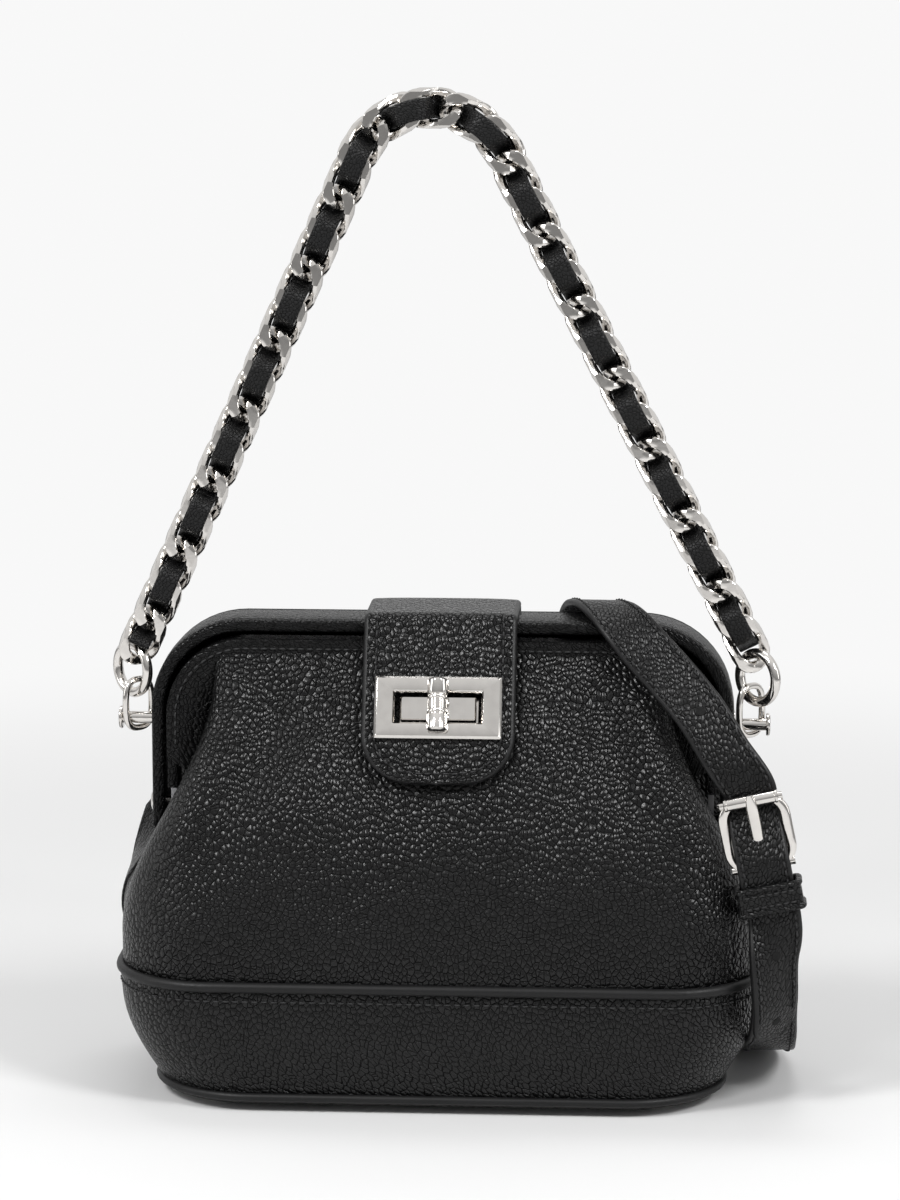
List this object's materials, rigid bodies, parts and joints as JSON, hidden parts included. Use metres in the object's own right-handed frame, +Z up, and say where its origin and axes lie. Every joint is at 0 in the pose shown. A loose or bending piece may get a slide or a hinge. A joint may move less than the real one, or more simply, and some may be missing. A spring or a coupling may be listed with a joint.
{
  "type": "chain shoulder bag",
  "caption": "Small framed leather handbag with a hinged front frame, turn-lock tab, woven chain handle and a buckled shoulder strap.",
  "frame": {"origin": "on the ground under the middle of the bag, on the plane of the four feet", "axes": "+Z up, -Y out of the bag's front, +X to the right as seen from the front"},
  "size_m": [0.2281, 0.179, 0.3281],
  "materials": {
    "black_leather": "pebbled grain, satin",
    "edge_leather": "smooth edge paint",
    "lining": "matt woven cloth",
    "board": "pressed board",
    "nickel": "polished nickel plate",
    "steel": "plain steel strip"
  },
  "bodies": {
    "bag": {"base_panel": "black_leather", "base_board": "board", "base_feet": "nickel", "base_piping": "edge_leather", "base_band": "black_leather", "waist_piping": "edge_leather", "front_panel_lower": "black_leather", "rear_panel": "black_leather", "left_gusset": "black_leather", "right_gusset": "black_leather", "bag_lining": "lining", "rear_lining": "lining", "rear_frame_bar": "steel", "rear_frame_cover": "black_leather", "hinge_rivets": "nickel", "tab_root": "black_leather", "side_posts": "nickel", "strap_ring_tabs": "black_leather", "long_strap": "black_leather", "buckle_strap": "black_leather", "strap_keeper": "black_leather", "buckle_frame": "nickel"},
    "front_frame": {"front_frame_bar": "steel", "front_frame_cover": "black_leather", "front_panel_upper": "black_leather", "front_lining_upper": "lining", "lock_base_plate": "nickel", "lock_back_washer": "nickel"},
    "turn_lock": {"turn_knob": "nickel"},
    "tab": {"closing_tab": "black_leather", "tab_backing": "edge_leather", "lock_front_plate": "nickel", "lock_clamp_plate": "nickel"},
    "loops": {"side_loops": "nickel"},
    "rings": {"round_rings": "nickel"},
    "chain_1": {"chain_links_1": "nickel", "chain_strip_1": "black_leather"},
    "chain_2": {"chain_links_2": "nickel", "chain_strip_2": "black_leather"},
    "chain_3": {"chain_links_3": "nickel", "chain_strip_3": "black_leather"},
    "chain_4": {"chain_links_4": "nickel", "chain_strip_4": "black_leather"},
    "chain_5": {"chain_links_5": "nickel", "chain_strip_5": "black_leather"},
    "strap_ring_pair": {"strap_rings": "nickel"},
    "roller": {"buckle_roller": "nickel"},
    "prong": {"buckle_prong": "nickel"}
  },
  "joints": [
    {"name": "mouth_open", "type": "hinge", "parent": "bag", "child": "front_frame", "pos_m": [0, 0, 0.092], "axis": [1, 0, 0], "range_deg": [0, 45], "deforming": ["left_gusset", "right_gusset", "long_strap"]},
    {"name": "tab_lift", "type": "hinge", "parent": "bag", "child": "tab", "pos_m": [0, 0.01395, 0.1582], "axis": [-1, 0, 0], "range_deg": [0, 178]},
    {"name": "knob_turn", "type": "hinge", "parent": "front_frame", "child": "turn_lock", "pos_m": [0, -0.0228, 0.1275], "axis": [0, -0.9025, 0.4307], "range_deg": [0, 90]},
    {"name": "loop_swing", "type": "hinge", "parent": "bag", "child": "loops", "pos_m": [0, 0, 0.12], "axis": [1, 0, 0], "range_deg": [-30, 30]},
    {"name": "ring_swing", "type": "hinge", "parent": "loops", "child": "rings", "pos_m": [0, 0, 0.1328], "axis": [1, 0, 0], "range_deg": [-25, 25]},
    {"name": "chain_fold_1", "type": "hinge", "parent": "rings", "child": "chain_1", "pos_m": [0, 0, 0.1412], "axis": [1, 0, 0], "range_deg": [-25, 25]},
    {"name": "chain_fold_2", "type": "hinge", "parent": "chain_1", "child": "chain_2", "pos_m": [0, 0, 0.17625], "axis": [1, 0, 0], "range_deg": [-25, 25], "deforming": ["chain_strip_1", "chain_strip_2"]},
    {"name": "chain_fold_3", "type": "hinge", "parent": "chain_2", "child": "chain_3", "pos_m": [0, 0, 0.21078], "axis": [1, 0, 0], "range_deg": [-25, 25], "deforming": ["chain_strip_2", "chain_strip_3"]},
    {"name": "chain_fold_4", "type": "hinge", "parent": "chain_3", "child": "chain_4", "pos_m": [0, 0, 0.2453], "axis": [1, 0, 0], "range_deg": [-25, 25], "deforming": ["chain_strip_3", "chain_strip_4"]},
    {"name": "chain_fold_5", "type": "hinge", "parent": "chain_4", "child": "chain_5", "pos_m": [0, 0, 0.27983], "axis": [1, 0, 0], "range_deg": [-25, 25], "deforming": ["chain_strip_4", "chain_strip_5"]},
    {"name": "strap_ring_swing", "type": "hinge", "parent": "bag", "child": "strap_ring_pair", "pos_m": [0, 0.04233, 0.096], "axis": [1, 0, 0], "range_deg": [-10, 35], "deforming": ["long_strap", "buckle_strap"]},
    {"name": "roller_spin", "type": "hinge", "parent": "bag", "child": "roller", "pos_m": [0.10035, -0.0362, 0.10256], "axis": [0.9781, 0, 0.2079], "continuous": true},
    {"name": "prong_lift", "type": "hinge", "parent": "bag", "child": "prong", "pos_m": [0.10484, -0.0362, 0.08144], "axis": [0.9781, 0, 0.2079], "range_deg": [0, 70], "deforming": ["long_strap"]}
  ],
  "couplings": [
    {"joint": "tab_lift", "follows": "mouth_open", "ratio": 3.9556}
  ]
}
